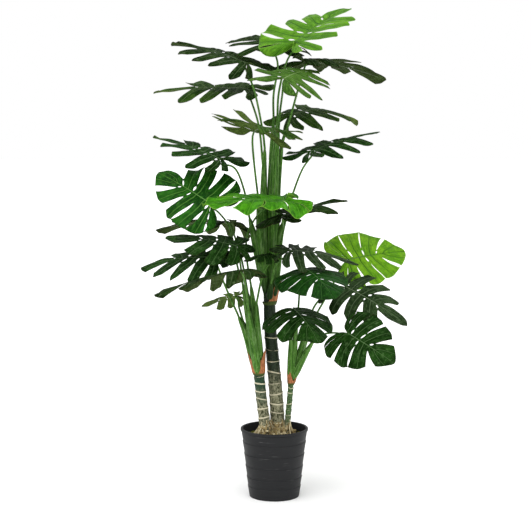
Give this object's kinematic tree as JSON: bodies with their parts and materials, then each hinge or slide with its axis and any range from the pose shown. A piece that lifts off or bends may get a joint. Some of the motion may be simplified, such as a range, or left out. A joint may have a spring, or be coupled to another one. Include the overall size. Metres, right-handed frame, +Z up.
{
  "type": "potted monstera",
  "caption": "Tall potted monstera with ringed stems, broad green stalk sheaths and split leaves, in a stepped round pot.",
  "frame": {"origin": "centre of the pot's flat base, on the surface it stands on", "axes": "+Z up along the pot's axis, +X to the right and -Y towards the viewer in the front view"},
  "size_m": [0.8398, 0.7106, 1.5151],
  "materials": {
    "pot_plastic": "charcoal moulded plastic, satin",
    "filler": "dark weighted filler with bits of moss",
    "stem_bark": "moulded bark, grey-brown to dark green, with pale rings",
    "husk": "dry orange-brown husk, papery",
    "stalk_green": "green with paler streaks along it, satin",
    "leaf_lime": "bright lime green, dark veins, satin",
    "leaf_mid": "mid green, pale veins, satin",
    "leaf_dark": "dark green, pale midrib, satin"
  },
  "bodies": {
    "root": {"pot": "pot_plastic", "filler": "filler", "stem_left": "stem_bark", "stem_centre": "stem_bark", "stem_right": "stem_bark", "husk_left": "husk", "husk_centre": "husk", "husk_right": "husk", "sheaths_left": "stalk_green", "sheaths_centre": "stalk_green", "sheaths_right": "stalk_green", "leaf_01": "leaf_lime", "leaf_02": "leaf_dark", "leaf_03": "leaf_dark", "leaf_04": "leaf_dark", "leaf_05": "leaf_mid", "leaf_06": "leaf_mid", "leaf_07": "leaf_mid", "leaf_08": "leaf_dark", "leaf_09": "leaf_dark", "leaf_10": "leaf_dark", "leaf_11": "leaf_mid", "leaf_12": "leaf_lime", "leaf_13": "leaf_dark", "leaf_14": "leaf_dark", "leaf_15": "leaf_dark", "leaf_16": "leaf_mid", "leaf_17": "leaf_lime", "leaf_18": "leaf_dark", "leaf_19": "leaf_mid", "leaf_20": "leaf_dark", "leaf_21": "leaf_mid", "leaf_22": "leaf_mid", "leaf_23": "leaf_dark", "leaf_24": "leaf_dark", "leaf_25": "leaf_dark"}
  },
  "joints": []
}
